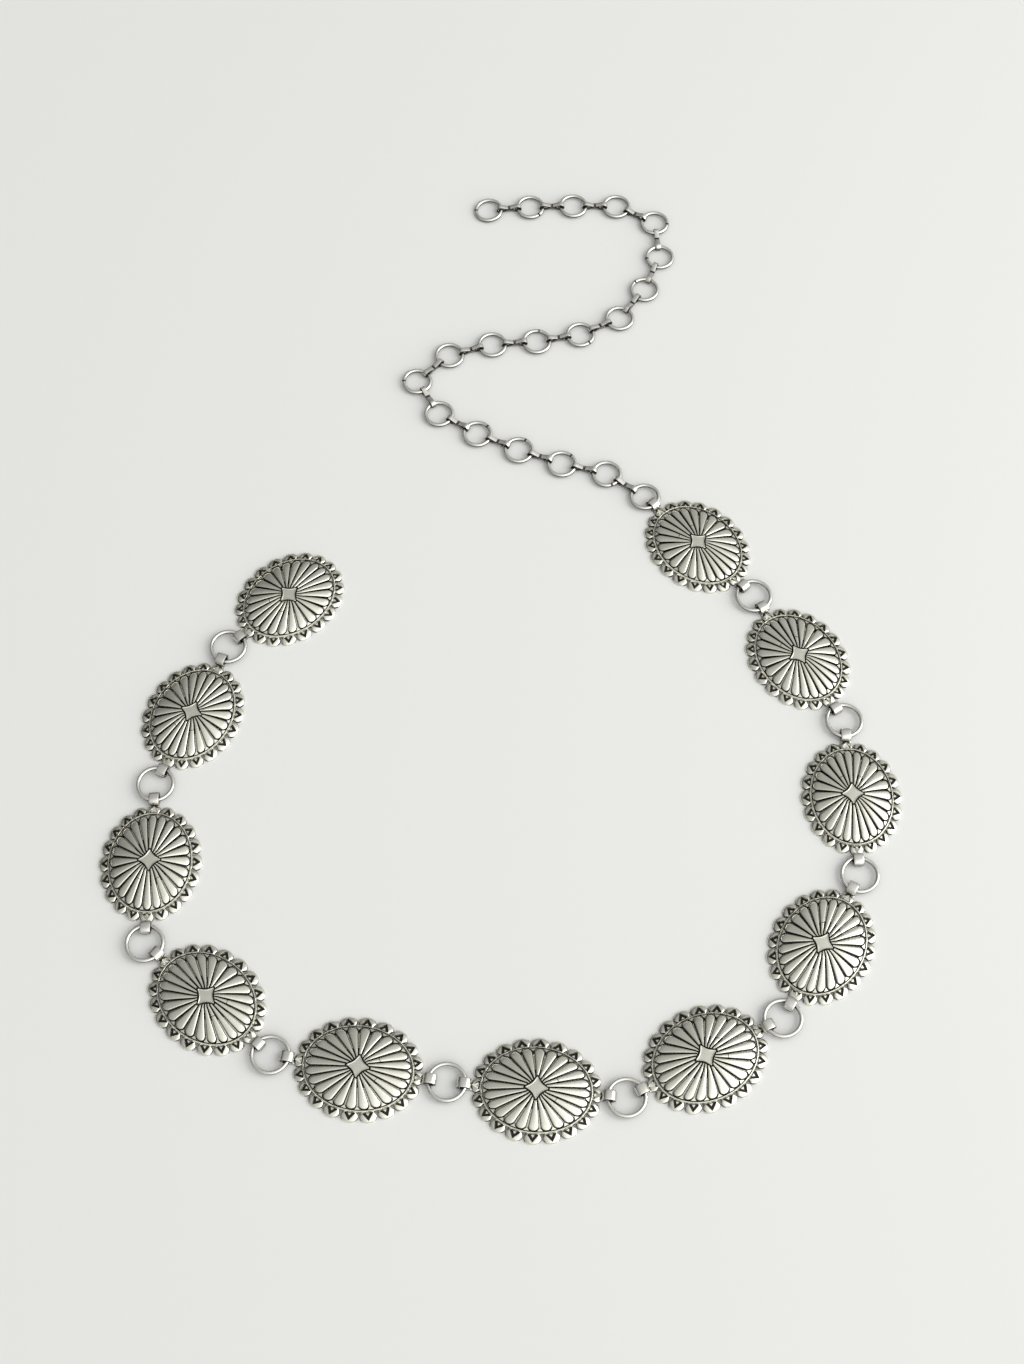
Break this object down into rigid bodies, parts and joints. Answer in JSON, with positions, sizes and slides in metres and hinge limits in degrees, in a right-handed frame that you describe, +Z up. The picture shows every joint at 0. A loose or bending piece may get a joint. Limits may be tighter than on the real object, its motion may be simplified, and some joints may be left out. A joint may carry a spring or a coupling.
{
  "type": "waist chain",
  "caption": "Waist chain of cast oval medallions with petals and scalloped rims, joined by plain round rings, with a ring-and-strip extender chain, laid open in a curve.",
  "frame": {"origin": "middle of the laid-out chain's box, on the surface it lies on", "axes": "+Z up from the surface, +Y along the layout's longest side towards the extender, +X to the right"},
  "size_m": [0.3072, 0.4318, 0.005],
  "materials": {
    "antique_silver": "cast silver-tone metal, satin on the petals and blackened in the recesses",
    "plain_silver": "silver-tone round wire and strip, satin with fine scratches"
  },
  "bodies": {
    "root": {"concho_01": "antique_silver", "concho_02": "antique_silver", "concho_03": "antique_silver", "concho_04": "antique_silver", "concho_05": "antique_silver", "concho_06": "antique_silver", "concho_07": "antique_silver", "concho_08": "antique_silver", "concho_09": "antique_silver", "concho_10": "antique_silver", "concho_11": "antique_silver", "joining_ring_01": "plain_silver", "joining_ring_02": "plain_silver", "joining_ring_03": "plain_silver", "joining_ring_04": "plain_silver", "joining_ring_05": "plain_silver", "joining_ring_06": "plain_silver", "joining_ring_07": "plain_silver", "joining_ring_08": "plain_silver", "joining_ring_09": "plain_silver", "joining_ring_10": "plain_silver", "extender_chain": "plain_silver", "extender_end_ring": "plain_silver"}
  },
  "joints": []
}
